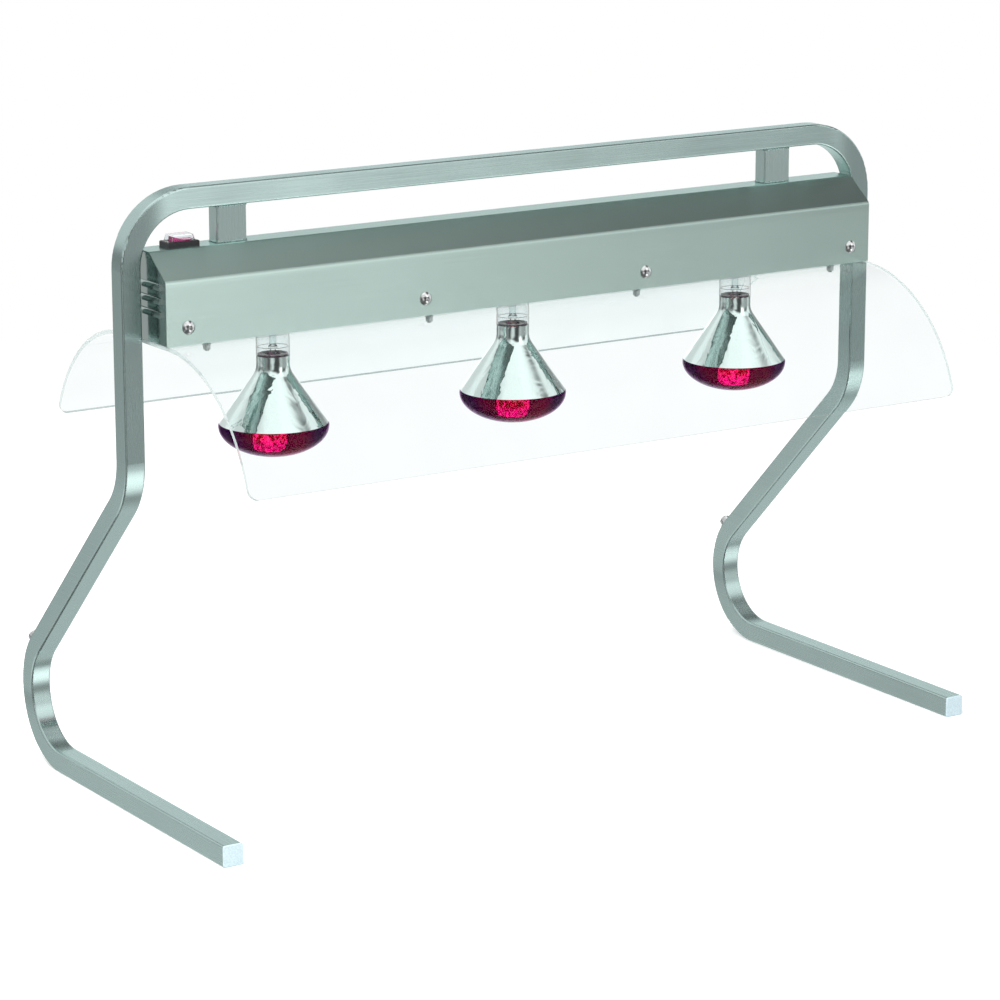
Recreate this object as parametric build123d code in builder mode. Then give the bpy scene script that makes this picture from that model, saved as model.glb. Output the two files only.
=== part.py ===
from build123d import *
from math import asin, atan2, cos, degrees, hypot, pi, radians, sin, tan
import os

os.makedirs("parts", exist_ok=True)

# Food heat lamp: a bent square-tube stand that carries a folded sheet housing with three
# reflector bulbs, and a clear arched guard under the housing.
# Millimetres, +Z up, +X along the rail, +Y to the back. The origin is on the counter,
# under the middle of the outer box.

# Stand
TUBE = 25.0
TUBE_WALL = 1.5
TUBE_EDGE_R = 2.5
STAND_HEIGHT = 718.0
RAIL_BEND_R = 75.0
RAIL_JOINT_DROP = 117.0
FOOT_REACH = 222.0
KNEE_CORNER_Y = 370.0
KNEE_BEND_R = 77.0
SLANT_TOP_Z = 379.0
HIP_BEND_R = 80.0

# Plugs in the front ends of the feet
PLUG_HEAD = 2.0
PLUG_DEPTH = 18.0
PLUG_WALL = 2.0
PLUG_GAP = 0.1
PLUG_CHAMFER = 0.7

# Bolt on the back of each knee
KNEE_BOLT_ANGLE = 37.0
KNEE_BOLT_R = 4.0
KNEE_BOLT_HEAD_R = 7.5
KNEE_BOLT_HEAD = 11.0
KNEE_BOLT_HEAD_SIDE = 6.5
KNEE_BOLT_SHANK = 14.0
KNEE_WASHER_R = 9.0
KNEE_WASHER = 1.6
RIVET_NUT_WALL = 1.5
RIVET_NUT_LENGTH = 12.0
RIVET_NUT_FLANGE = 1.0
THREAD_GAP = 0.05

# Housing
HOUSING_LENGTH = 980.0
HOUSING_DEPTH = 110.0
HOUSING_HEIGHT = 101.5
HOUSING_FRONT_HEIGHT = 73.0
HOUSING_TOP_WIDTH = 34.0
HOUSING_END_GAP = 7.5
SHEET = 1.5
COVER_FOLD_R = 6.0
FOLD_R = 3.0
SEAT_GAP = 0.1
PANEL_INSET = 2.0
PANEL_FLANGE = 12.0
LOUVRE_COUNT = 3
LOUVRE_PITCH = 15.4
LOUVRE_LENGTH = 82.0
LOUVRE_RISE = 3.5
LOUVRE_HEIGHT = 7.0
LOUVRE_SKIN = 1.0
LOUVRE_TOP_HEIGHT = 68.5
TRAY_FLANGE = 32.0

# Button-head screws through the cover into rivet nuts in the tray
COVER_SCREW_END = 27.5
COVER_SCREW_COUNT = 4
COVER_SCREW_HEIGHT = 20.0
COVER_SCREW_R = 4.0
COVER_SCREW_HEAD_R = 8.0
COVER_SCREW_HEAD = 4.6
COVER_SCREW_HEAD_SIDE = 0.5
COVER_SCREW_SOCKET_R = 2.9
COVER_SCREW_SOCKET = 2.6
COVER_SCREW_SHANK = 12.0
COVER_NUT_LENGTH = 9.0

# Hanger posts between the rail and the housing
POST_END = 109.0
POST_HEIGHT = 42.0
POST_WIDTH = 38.0
POST_DEPTH = 20.0
POST_WALL = 1.5
POST_EDGE_R = 2.0
POST_PLATE = 5.0
POST_BOLT_PITCH = 18.0
POST_BOLT_R = 3.0
POST_BOLT_HEAD_R = 5.8
POST_BOLT_HEAD = 4.0

# Clear guard, an arched sheet hung under the tray
GUARD_END = 3.0
GUARD_SHEET = 5.0
GUARD_FLAT = 106.0
GUARD_R = 185.0
GUARD_SWEEP = 70.0
GUARD_FRONT_LEG = 17.0
GUARD_BACK_LEG = 4.0
GUARD_CORNER_R = 12.0

# Studs, washers and nuts that hold the guard
STUD_END = 53.5
STUD_COLUMN_COUNT = 4
STUD_ROW_PITCH = 95.0
STUD_ROW_COUNT = 2
STUD_R = 2.5
STUD_TAIL = 1.5
STUD_HOLE_GAP = 0.4
STUD_WASHER_R = 5.0
STUD_WASHER = 0.8
STUD_NUT_FLATS = 8.0
STUD_NUT = 4.0

# Bulbs, reflector lamps with a screw cap
BULB_END = 164.0
BULB_COUNT = 3
BULB_R = 63.5
BULB_DROP = 117.5
LENS_DEPTH = 35.0
CONE_HEIGHT = 65.0
CONE_NECK_R = 20.0
RIM_R = 6.0
NECK_R = 19.5
SILVER_NECK = 17.0
CLEAR_NECK = 28.0
GLASS = 1.5
CAP_HEIGHT = 27.0
CAP_R = 13.3
CAP_ROOT_R = 12.4
CAP_PITCH = 3.63
CAP_THREADS = 4
CAP_WALL = 0.5
CAP_SKIRT = 4.0
CAP_TIP = 3.0
CAP_TIP_R = 5.0
CAP_SHOULDER = 7.5
CEMENT_GAP = 0.3
NECK_TAIL = 6.0
STEM_R = 4.0
STEM_LENGTH = 34.0
STEM_FLARE = 1.5
STEM_FLARE_HEIGHT = 7.0
STEM_PRESS = 2.5
STEM_PRESS_R = 5.5
LEAD_R = 0.6
LEAD_SPREAD = 16.0
LEAD_LENGTH = 34.0
COIL_R = 1.4

# Lamp holders
NECK_HOLE_GAP = 4.5
HOLDER_R = 23.0
HOLDER_MOUTH_GAP = 5.0
HOLDER_TOP_WALL = 16.0
HOLDER_SHELL_GAP = 0.5
HOLDER_SHELL = 0.8
CONTACT_GAP = 0.4
CONTACT_R = 4.5
CONTACT_SHEET = 1.0
CONTACT_POST_R = 2.0
CONTACT_POST = 6.0
HOLDER_RAIL_WIDTH = 36.0
HOLDER_RAIL_END = 45.0
HOLDER_RAIL_FOOT = 16.0
HOLDER_SCREW_PITCH = 34.0
SMALL_SCREW_R = 2.0
SMALL_SCREW_HEAD_R = 3.6
SMALL_SCREW_HEAD = 2.4
SMALL_SCREW_HEAD_SIDE = 0.4
SMALL_SCREW_SHANK = 11.0
SCREW_HOLE_GAP = 0.2

# Rocker switch on top of the housing, near its left end
SWITCH_END = 47.5
BEZEL_LENGTH = 39.0
BEZEL_WIDTH = 22.0
BEZEL_HEIGHT = 6.5
BEZEL_CHAMFER = 1.0
SWITCH_BODY_LENGTH = 30.0
SWITCH_BODY_WIDTH = 19.0
SWITCH_BODY_DEPTH = 24.0
SWITCH_WELL_LENGTH = 25.0
SWITCH_WELL_WIDTH = 14.0
SWITCH_WELL_DEPTH = 11.0
ROCKER_LENGTH = 22.0
ROCKER_WIDTH = 13.0
ROCKER_TILT = 9.0
ROCKER_PIVOT_HEIGHT = 1.0
ROCKER_CROWN = 8.4
ROCKER_DIP = 1.5
ROCKER_KEEL = 4.5
ROCKER_PIN_R = 1.5
ROCKER_PIN_LENGTH = 2.0
ROCKER_PIN_GAP = 0.05
BOOT_BASE_LENGTH = 29.0
BOOT_BASE_WIDTH = 19.0
BOOT_TOP_LENGTH = 26.0
BOOT_TOP_WIDTH = 17.0
BOOT_HEIGHT = 7.0
BOOT_WALL = 0.8
BLADE_COUNT = 2
BLADE_PITCH = 12.0
BLADE_WIDTH = 6.3
BLADE_SHEET = 0.8
BLADE_LENGTH = 9.0

# Wiring, terminal block and cable gland
WIRE_R = 1.5
WIRE_BEND_R = 4.0
WIRE_BRANCH_R = 1.2
WIRE_SIDE_Y = 28.0
WIRE_DROP = 8.0
WIRE_LANE = 8.0
WIRE_BACK_GAP = 19.0
BLOCK_END = 60.0
BLOCK_LENGTH = 30.0
BLOCK_WIDTH = 34.0
BLOCK_HEIGHT = 18.0
BLOCK_WAYS = 3
BLOCK_BORE_R = 2.0
GLAND_END = 65.0
GLAND_HEIGHT = 54.0
GLAND_R = 8.0
GLAND_BORE_R = 4.0
GLAND_FLATS = 20.0
GLAND_COLLAR = 6.0
GLAND_CAP = 11.0
GLAND_CAP_FILLET = 3.0
GLAND_NUT = 5.0

# Derived places of the stand's centreline, as (y from the lamp plane, z)
FOOT_Z = TUBE / 2
SLANT_ANGLE = degrees(atan2(SLANT_TOP_Z - FOOT_Z, KNEE_CORNER_Y))
KNEE_TANGENT = KNEE_BEND_R / tan(radians(SLANT_ANGLE / 2))
KNEE_CENTRE_Y = KNEE_CORNER_Y - KNEE_TANGENT
KNEE_CENTRE_Z = FOOT_Z + KNEE_BEND_R
HIP_TURN = 90 - SLANT_ANGLE
HIP_TANGENT = HIP_BEND_R * tan(radians(HIP_TURN / 2))
KNEE_BACK = KNEE_CENTRE_Y + KNEE_BEND_R + TUBE / 2

# The guard's front edge reaches further forward than the feet
GUARD_FRONT = (
    GUARD_FLAT / 2
    + GUARD_R * sin(radians(GUARD_SWEEP))
    + GUARD_FRONT_LEG * cos(radians(GUARD_SWEEP))
)
LAMP_Y = (max(FOOT_REACH, GUARD_FRONT) - KNEE_BACK) / 2
LAMP_PLANE = Plane(origin=(0, LAMP_Y, 0), x_dir=(0, 1, 0), z_dir=(1, 0, 0))
FACE_PLANE = Plane(origin=(0, LAMP_Y, 0), x_dir=(1, 0, 0), z_dir=(0, -1, 0))

# Derived levels, and places along the housing
HOUSING_TOP = STAND_HEIGHT - TUBE - POST_HEIGHT
HOUSING_Z = HOUSING_TOP - HOUSING_HEIGHT
TRAY_TOP = HOUSING_Z + SHEET
BULB_WIDEST_Z = HOUSING_Z - BULB_DROP
RAIL_JOINT_Z = STAND_HEIGHT - RAIL_JOINT_DROP
LEG_PITCH = HOUSING_LENGTH + 2 * HOUSING_END_GAP + TUBE
HOUSING_END_X = HOUSING_LENGTH / 2
SWITCH_X = SWITCH_END - HOUSING_END_X
BLOCK_X = HOUSING_END_X - BLOCK_END
GLAND_X = HOUSING_END_X - GLAND_END
SIDES = {"left": -1, "right": 1}
ROWS = {"front": -1, "back": 1}


def spread(pitch, count):
    """Evenly spaced places about zero."""
    return [pitch * (i - (count - 1) / 2) for i in range(count)]


def along_housing(end, count):
    """Evenly spaced places along the housing, the outer ones at a distance from its ends."""
    return spread((HOUSING_LENGTH - 2 * end) / (count - 1), count)


BULB_XS = along_housing(BULB_END, BULB_COUNT)
COVER_SCREW_XS = along_housing(COVER_SCREW_END, COVER_SCREW_COUNT)
COVER_SCREW_Z = HOUSING_Z + COVER_SCREW_HEIGHT
STUD_XS = along_housing(STUD_END, STUD_COLUMN_COUNT)
STUD_YS = spread(STUD_ROW_PITCH, STUD_ROW_COUNT)
POST_XS = {"left": POST_END - HOUSING_END_X, "right": HOUSING_END_X - POST_END}
POST_BOLT_XS = [x + dx for x in POST_XS.values() for dx in spread(POST_BOLT_PITCH, 2)]


def turned(point, outward, profile):
    """Adds a turned piece to a part: the profile is (radius, height) points about its axis."""
    axis = Vector(*outward).normalized()
    across = Vector(1, 0, 0)
    with BuildSketch(Plane(origin=point, x_dir=across, z_dir=across.cross(axis))) as half:
        with BuildLine():
            Polyline(*profile, close=True)
        make_face()
    revolve(half.sketch, axis=Axis(point, tuple(axis)))


def domed_screw(point, outward, shank_r, shank, head_r, side, head):
    """Adds a screw whose head stands on the point: a short straight side, then a dome."""
    axis = Vector(*outward).normalized()
    across = Vector(1, 0, 0)
    rise = head - side
    dome_r = (head_r**2 + rise**2) / (2 * rise)
    rim_angle = degrees(atan2(dome_r - rise, head_r))
    with BuildSketch(Plane(origin=point, x_dir=across, z_dir=across.cross(axis))) as half:
        with BuildLine():
            Polyline((0, head), (0, -shank), (shank_r, -shank), (shank_r, 0), (head_r, 0), (head_r, side))
            CenterArc((0, head - dome_r), dome_r, rim_angle, 90 - rim_angle)
        make_face()
    revolve(half.sketch, axis=Axis(point, tuple(axis)))


def finish(part, label):
    """Names a finished piece and writes it."""
    part.part.label = label
    export_step(part.part, f"parts/{label}.step")


def tube_section(start, across, along):
    """Hollow square section at the start of a tube."""
    with BuildSketch(Plane(origin=start, x_dir=across, z_dir=along)) as section:
        RectangleRounded(TUBE, TUBE, TUBE_EDGE_R)
        RectangleRounded(
            TUBE - 2 * TUBE_WALL,
            TUBE - 2 * TUBE_WALL,
            TUBE_EDGE_R - TUBE_WALL,
            mode=Mode.SUBTRACT,
        )
    return section.sketch


# Rail with its two corner bends
bend_x = LEG_PITCH / 2 - RAIL_BEND_R
bend_z = STAND_HEIGHT - TUBE / 2 - RAIL_BEND_R
diagonal = RAIL_BEND_R * cos(pi / 4)
with BuildPart() as top_rail:
    with BuildLine():
        Line((-LEG_PITCH / 2, LAMP_Y, RAIL_JOINT_Z), (-LEG_PITCH / 2, LAMP_Y, bend_z))
        ThreePointArc(
            (-LEG_PITCH / 2, LAMP_Y, bend_z),
            (-bend_x - diagonal, LAMP_Y, bend_z + diagonal),
            (-bend_x, LAMP_Y, bend_z + RAIL_BEND_R),
        )
        Line((-bend_x, LAMP_Y, bend_z + RAIL_BEND_R), (bend_x, LAMP_Y, bend_z + RAIL_BEND_R))
        ThreePointArc(
            (bend_x, LAMP_Y, bend_z + RAIL_BEND_R),
            (bend_x + diagonal, LAMP_Y, bend_z + diagonal),
            (LEG_PITCH / 2, LAMP_Y, bend_z),
        )
        Line((LEG_PITCH / 2, LAMP_Y, bend_z), (LEG_PITCH / 2, LAMP_Y, RAIL_JOINT_Z))
    sweep(tube_section((-LEG_PITCH / 2, LAMP_Y, RAIL_JOINT_Z), (1, 0, 0), (0, 0, 1)))
finish(top_rail, "top_rail")


def bend_point(x, centre_y, centre_z, radius, angle):
    """Point on a bend of a leg, by its angle above straight back."""
    y = LAMP_Y + centre_y + radius * cos(radians(angle))
    return (x, y, centre_z + radius * sin(radians(angle)))


def knee_seat(side):
    """Point on the tube's back face under a knee bolt, and the direction that the bolt points."""
    x = side * LEG_PITCH / 2
    point = bend_point(x, KNEE_CENTRE_Y, KNEE_CENTRE_Z, KNEE_BEND_R + TUBE / 2, KNEE_BOLT_ANGLE)
    return point, (0, cos(radians(KNEE_BOLT_ANGLE)), sin(radians(KNEE_BOLT_ANGLE)))


# Legs: foot, knee bend, slant, hip bend and upright
knee_end_angle = 90 - SLANT_ANGLE
hip_centre_y = HIP_BEND_R
hip_centre_z = SLANT_TOP_Z + HIP_TANGENT
foot_start_y = LAMP_Y - FOOT_REACH + PLUG_HEAD
for side_name, side in SIDES.items():
    x = side * LEG_PITCH / 2
    knee = (x, KNEE_CENTRE_Y, KNEE_CENTRE_Z, KNEE_BEND_R)
    hip = (x, hip_centre_y, hip_centre_z, HIP_BEND_R)
    hip_start_angle = 180 + HIP_TURN
    with BuildPart() as leg:
        with BuildLine():
            Line((x, foot_start_y, FOOT_Z), bend_point(*knee, -90))
            ThreePointArc(
                bend_point(*knee, -90),
                bend_point(*knee, (knee_end_angle - 90) / 2),
                bend_point(*knee, knee_end_angle),
            )
            Line(bend_point(*knee, knee_end_angle), bend_point(*hip, hip_start_angle))
            ThreePointArc(
                bend_point(*hip, hip_start_angle),
                bend_point(*hip, 180 + HIP_TURN / 2),
                bend_point(*hip, 180),
            )
            Line(bend_point(*hip, 180), (x, LAMP_Y, RAIL_JOINT_Z))
        sweep(tube_section((x, foot_start_y, FOOT_Z), (1, 0, 0), (0, 1, 0)))
        seat, outward = knee_seat(side)
        with BuildSketch(Plane(origin=seat, z_dir=outward)):
            Circle(KNEE_BOLT_R + RIVET_NUT_WALL + THREAD_GAP)
        extrude(amount=-TUBE / 2, mode=Mode.SUBTRACT)
    finish(leg, f"{side_name}_leg")

# Plugs in the feet
plug_outer = TUBE - 2 * TUBE_WALL - 2 * PLUG_GAP
for side_name, side in SIDES.items():
    plug_front = Plane(
        origin=(side * LEG_PITCH / 2, LAMP_Y - FOOT_REACH, FOOT_Z), x_dir=(1, 0, 0), z_dir=(0, 1, 0)
    )
    with BuildPart() as plug:
        with BuildSketch(plug_front):
            RectangleRounded(TUBE, TUBE, TUBE_EDGE_R)
        extrude(amount=PLUG_HEAD)
        chamfer(plug.faces().sort_by(Axis.Y)[0].edges(), PLUG_CHAMFER)
        with BuildSketch(plug_front.offset(PLUG_HEAD)):
            RectangleRounded(plug_outer, plug_outer, TUBE_EDGE_R - TUBE_WALL)
            Rectangle(plug_outer - 2 * PLUG_WALL, plug_outer - 2 * PLUG_WALL, mode=Mode.SUBTRACT)
        extrude(amount=PLUG_DEPTH)
    finish(plug, f"{side_name}_foot_plug")


# Knee bolts, their washers and the rivet nuts in the tube wall
head_base = RIVET_NUT_FLANGE + KNEE_WASHER
with BuildPart() as knee_bolts:
    for side in SIDES.values():
        point, outward = knee_seat(side)
        domed_screw(
            tuple(Vector(*point) + Vector(*outward) * head_base),
            outward,
            KNEE_BOLT_R,
            KNEE_BOLT_SHANK,
            KNEE_BOLT_HEAD_R,
            KNEE_BOLT_HEAD_SIDE,
            KNEE_BOLT_HEAD,
        )
finish(knee_bolts, "knee_bolts")

with BuildPart() as knee_washers:
    for side in SIDES.values():
        point, outward = knee_seat(side)
        ring = [
            (KNEE_BOLT_R + SCREW_HOLE_GAP, RIVET_NUT_FLANGE),
            (KNEE_WASHER_R, RIVET_NUT_FLANGE),
            (KNEE_WASHER_R, head_base),
            (KNEE_BOLT_R + SCREW_HOLE_GAP, head_base),
        ]
        turned(point, outward, ring)
finish(knee_washers, "knee_washers")

with BuildPart() as knee_rivet_nuts:
    for side in SIDES.values():
        point, outward = knee_seat(side)
        sleeve_r = KNEE_BOLT_R + RIVET_NUT_WALL
        sleeve = [
            (KNEE_BOLT_R + THREAD_GAP, RIVET_NUT_FLANGE),
            (KNEE_BOLT_R + THREAD_GAP, RIVET_NUT_FLANGE - RIVET_NUT_LENGTH),
            (sleeve_r, RIVET_NUT_FLANGE - RIVET_NUT_LENGTH),
            (sleeve_r, 0),
            (sleeve_r + RIVET_NUT_WALL, 0),
            (sleeve_r + RIVET_NUT_WALL, RIVET_NUT_FLANGE),
        ]
        turned(point, outward, sleeve)
finish(knee_rivet_nuts, "knee_rivet_nuts")

# Hanger posts, with a welded plate inside each foot and bolts from inside the housing
for side_name, x in POST_XS.items():
    with BuildPart() as post:
        with BuildSketch(Plane((x, LAMP_Y, HOUSING_TOP))):
            RectangleRounded(POST_WIDTH, POST_DEPTH, POST_EDGE_R)
            Rectangle(POST_WIDTH - 2 * POST_WALL, POST_DEPTH - 2 * POST_WALL, mode=Mode.SUBTRACT)
        extrude(amount=POST_HEIGHT)
    finish(post, f"{side_name}_hanger_post")

with BuildPart() as hanger_plates:
    with BuildSketch(Plane.XY.offset(HOUSING_TOP)):
        for x in POST_XS.values():
            with Locations((x, LAMP_Y)):
                Rectangle(POST_WIDTH - 2 * POST_WALL, POST_DEPTH - 2 * POST_WALL)
        with Locations([(x, LAMP_Y) for x in POST_BOLT_XS]):
            Circle(POST_BOLT_R + THREAD_GAP, mode=Mode.SUBTRACT)
    extrude(amount=POST_PLATE)
finish(hanger_plates, "hanger_plates")

with BuildPart() as hanger_bolts:
    with BuildSketch(Plane.XY.offset(HOUSING_TOP - SHEET)):
        with Locations([(x, LAMP_Y) for x in POST_BOLT_XS]):
            RegularPolygon(POST_BOLT_HEAD_R, 6)
    extrude(amount=-POST_BOLT_HEAD)
    with BuildSketch(Plane.XY.offset(HOUSING_TOP - SHEET)):
        with Locations([(x, LAMP_Y) for x in POST_BOLT_XS]):
            Circle(POST_BOLT_R)
    extrude(amount=SHEET + POST_PLATE)
finish(hanger_bolts, "hanger_bolts")


# Housing cover: one folded sheet, open below and at both ends
def housing_fold(inset, bottom):
    """Outline of the cover's outside, or of something inside it, as an open line."""
    half = HOUSING_DEPTH / 2 - inset
    slope = atan2(
        HOUSING_HEIGHT - HOUSING_FRONT_HEIGHT, (HOUSING_DEPTH - HOUSING_TOP_WIDTH) / 2
    )
    fold = HOUSING_Z + HOUSING_FRONT_HEIGHT - inset * tan((pi / 2 - slope) / 2)
    top_half = HOUSING_TOP_WIDTH / 2 - inset * tan(slope / 2)
    top = HOUSING_TOP - inset
    return [
        (-half, bottom),
        (-half, fold),
        (-top_half, top),
        (top_half, top),
        (half, fold),
        (half, bottom),
    ]


with BuildPart() as housing_cover:
    with BuildSketch(LAMP_PLANE):
        with BuildLine():
            FilletPolyline(*housing_fold(0, HOUSING_Z), radius=COVER_FOLD_R)
            offset(amount=SHEET, side=Side.RIGHT)
        make_face()
    extrude(amount=HOUSING_END_X, both=True)
    with BuildSketch(FACE_PLANE):
        with Locations([(x, COVER_SCREW_Z) for x in COVER_SCREW_XS]):
            Circle(COVER_SCREW_R + SCREW_HOLE_GAP)
    extrude(amount=HOUSING_DEPTH, both=True, mode=Mode.SUBTRACT)
    with BuildSketch(Plane.XY.offset(HOUSING_TOP)):
        with Locations([(x, LAMP_Y) for x in POST_BOLT_XS]):
            Circle(POST_BOLT_R + SCREW_HOLE_GAP)
        with Locations((SWITCH_X, LAMP_Y)):
            Rectangle(SWITCH_BODY_LENGTH + 2 * SEAT_GAP, SWITCH_BODY_WIDTH + 2 * SEAT_GAP)
    extrude(amount=-2 * SHEET, mode=Mode.SUBTRACT)
    with BuildSketch(FACE_PLANE):
        with Locations((GLAND_X, HOUSING_Z + GLAND_HEIGHT)):
            Circle(GLAND_R + SCREW_HOLE_GAP)
    extrude(amount=-HOUSING_DEPTH, mode=Mode.SUBTRACT)
finish(housing_cover, "housing_cover")

# End panels: a plate with an inward flange all round, and louvres pressed outward
panel_face_x = HOUSING_END_X - PANEL_INSET
louvre_foot = HOUSING_Z + LOUVRE_TOP_HEIGHT - LOUVRE_HEIGHT
louvre_zs = [louvre_foot - LOUVRE_PITCH * i for i in range(LOUVRE_COUNT)]


def louvre_profile(side, z, inset, back):
    """Quarter-round hood in the XZ plane: its foot is at z and it leans on the panel's face."""
    face = side * panel_face_x
    rise = LOUVRE_RISE - inset
    height = LOUVRE_HEIGHT - inset
    start_angle = 0 if side > 0 else 90
    with BuildSketch(FACE_PLANE) as profile:
        with BuildLine():
            EllipticalCenterArc((face, z), rise, height, start_angle, arc_size=90)
            Polyline(
                (face, z + height),
                (face - side * back, z + height),
                (face - side * back, z),
                (face + side * rise, z),
            )
        make_face()
    return profile.sketch


for side_name, side in SIDES.items():
    with BuildPart() as panel:
        with BuildSketch(LAMP_PLANE.offset(side * panel_face_x)) as outline:
            with BuildLine():
                Polyline(*housing_fold(SHEET + SEAT_GAP, HOUSING_Z), close=True)
            make_face()
            upper_corners = outline.vertices().group_by(Axis.Y)[1:]
            fillet([corner for row in upper_corners for corner in row], COVER_FOLD_R - SHEET - SEAT_GAP)
        extrude(amount=-side * PANEL_FLANGE)
        inner_face = panel.faces().sort_by(Axis.X)[0 if side > 0 else -1]
        offset(amount=-SHEET, openings=inner_face)
        for z in louvre_zs:
            hood = louvre_profile(side, z, 0, SHEET / 2)
            hollow = louvre_profile(side, z, LOUVRE_SKIN, 2 * SHEET)
            extrude(hood, amount=LOUVRE_LENGTH / 2, both=True)
            extrude(hollow, LOUVRE_LENGTH / 2 - LOUVRE_SKIN, both=True, mode=Mode.SUBTRACT)
    finish(panel, f"{side_name}_end_panel")

# Bottom tray: a channel that closes the cover from below
tray_half_width = HOUSING_DEPTH / 2 - SHEET - SEAT_GAP
tray_half_length = panel_face_x - PANEL_FLANGE - SEAT_GAP
neck_hole_r = NECK_R + NECK_HOLE_GAP
cover_nut_r = COVER_SCREW_R + RIVET_NUT_WALL
with BuildPart() as bottom_tray:
    with BuildSketch(LAMP_PLANE):
        with BuildLine():
            FilletPolyline(
                (-tray_half_width, HOUSING_Z + TRAY_FLANGE),
                (-tray_half_width, HOUSING_Z),
                (tray_half_width, HOUSING_Z),
                (tray_half_width, HOUSING_Z + TRAY_FLANGE),
                radius=FOLD_R,
            )
            offset(amount=SHEET, side=Side.LEFT)
        make_face()
    extrude(amount=tray_half_length, both=True)
    with BuildSketch(Plane.XY.offset(HOUSING_Z)):
        with Locations([(x, LAMP_Y) for x in BULB_XS]):
            Circle(neck_hole_r)
    extrude(amount=SHEET, mode=Mode.SUBTRACT)
    with BuildSketch(FACE_PLANE):
        with Locations([(x, COVER_SCREW_Z) for x in COVER_SCREW_XS]):
            Circle(cover_nut_r + SCREW_HOLE_GAP)
    extrude(amount=HOUSING_DEPTH, both=True, mode=Mode.SUBTRACT)
finish(bottom_tray, "bottom_tray")

# Button-head cover screws, front and back, with hexagon sockets
cover_screw_seats = [
    ((x, LAMP_Y + row * HOUSING_DEPTH / 2, COVER_SCREW_Z), (0, row, 0))
    for row in ROWS.values()
    for x in COVER_SCREW_XS
]
with BuildPart() as cover_screws:
    for point, outward in cover_screw_seats:
        domed_screw(
            point,
            outward,
            COVER_SCREW_R,
            COVER_SCREW_SHANK,
            COVER_SCREW_HEAD_R,
            COVER_SCREW_HEAD_SIDE,
            COVER_SCREW_HEAD,
        )
    for row in ROWS.values():
        head_face = LAMP_Y + row * (HOUSING_DEPTH / 2 + COVER_SCREW_HEAD)
        with BuildSketch(Plane(origin=(0, head_face, 0), x_dir=(1, 0, 0), z_dir=(0, -1, 0))):
            with Locations([(x, COVER_SCREW_Z) for x in COVER_SCREW_XS]):
                RegularPolygon(COVER_SCREW_SOCKET_R, 6)
        extrude(amount=row * COVER_SCREW_SOCKET, mode=Mode.SUBTRACT)
finish(cover_screws, "cover_screws")

nut_face = SHEET + SEAT_GAP
with BuildPart() as cover_rivet_nuts:
    for point, outward in cover_screw_seats:
        nut = [
            (COVER_SCREW_R + THREAD_GAP, -nut_face),
            (cover_nut_r, -nut_face),
            (cover_nut_r, -nut_face - SHEET),
            (cover_nut_r + RIVET_NUT_WALL, -nut_face - SHEET),
            (cover_nut_r + RIVET_NUT_WALL, -nut_face - 2 * SHEET),
            (cover_nut_r, -nut_face - 2 * SHEET),
            (cover_nut_r, -nut_face - COVER_NUT_LENGTH),
            (COVER_SCREW_R + THREAD_GAP, -nut_face - COVER_NUT_LENGTH),
        ]
        turned(point, outward, nut)
finish(cover_rivet_nuts, "cover_rivet_nuts")

# Clear guard: a flat crown, a large bend and a straight leg on each side
sweep_angle = radians(GUARD_SWEEP)


def guard_side(sign, leg_length):
    """Crown edge, middle of the bend, end of the bend and tip of one side of the guard."""
    half = GUARD_FLAT / 2
    bend_y = half + GUARD_R * sin(sweep_angle)
    bend_z = HOUSING_Z - GUARD_R * (1 - cos(sweep_angle))
    middle_y = half + GUARD_R * sin(sweep_angle / 2)
    middle_z = HOUSING_Z - GUARD_R * (1 - cos(sweep_angle / 2))
    tip_y = bend_y + leg_length * cos(sweep_angle)
    tip_z = bend_z - leg_length * sin(sweep_angle)
    return [
        (sign * half, HOUSING_Z),
        (sign * middle_y, middle_z),
        (sign * bend_y, bend_z),
        (sign * tip_y, tip_z),
    ]


def crosses_tip(edge):
    """Whether a straight edge of the guard runs through the sheet, so leans against its leg."""
    along = edge % 0.5
    return (edge.center().Y - LAMP_Y) * along.Y * along.Z > 1


stud_places = [(x, LAMP_Y + y) for x in STUD_XS for y in STUD_YS]
with BuildPart() as sneeze_guard:
    crown_front, middle_front, bend_front, tip_front = guard_side(-1, GUARD_FRONT_LEG)
    crown_back, middle_back, bend_back, tip_back = guard_side(1, GUARD_BACK_LEG)
    with BuildSketch(LAMP_PLANE):
        with BuildLine():
            Line(tip_front, bend_front)
            ThreePointArc(bend_front, middle_front, crown_front)
            Line(crown_front, crown_back)
            ThreePointArc(crown_back, middle_back, bend_back)
            Line(bend_back, tip_back)
            offset(amount=GUARD_SHEET, side=Side.RIGHT)
        make_face()
    extrude(amount=HOUSING_END_X - GUARD_END, both=True)
    straight_edges = sneeze_guard.edges().filter_by(GeomType.LINE)
    fillet([edge for edge in straight_edges if crosses_tip(edge)], GUARD_CORNER_R)
    with BuildSketch(Plane.XY.offset(HOUSING_Z)):
        with Locations([(x, LAMP_Y) for x in BULB_XS]):
            Circle(neck_hole_r)
        with Locations(stud_places):
            Circle(STUD_R + STUD_HOLE_GAP)
    extrude(amount=-2 * GUARD_SHEET, mode=Mode.SUBTRACT)
finish(sneeze_guard, "sneeze_guard")

# Weld studs under the tray, with a washer and a nut on each
washer_z = HOUSING_Z - GUARD_SHEET
nut_z = washer_z - STUD_WASHER
with BuildPart() as guard_studs:
    with BuildSketch(Plane.XY.offset(HOUSING_Z)):
        with Locations(stud_places):
            Circle(STUD_R)
    extrude(amount=nut_z - STUD_NUT - STUD_TAIL - HOUSING_Z)
finish(guard_studs, "guard_studs")

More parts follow.
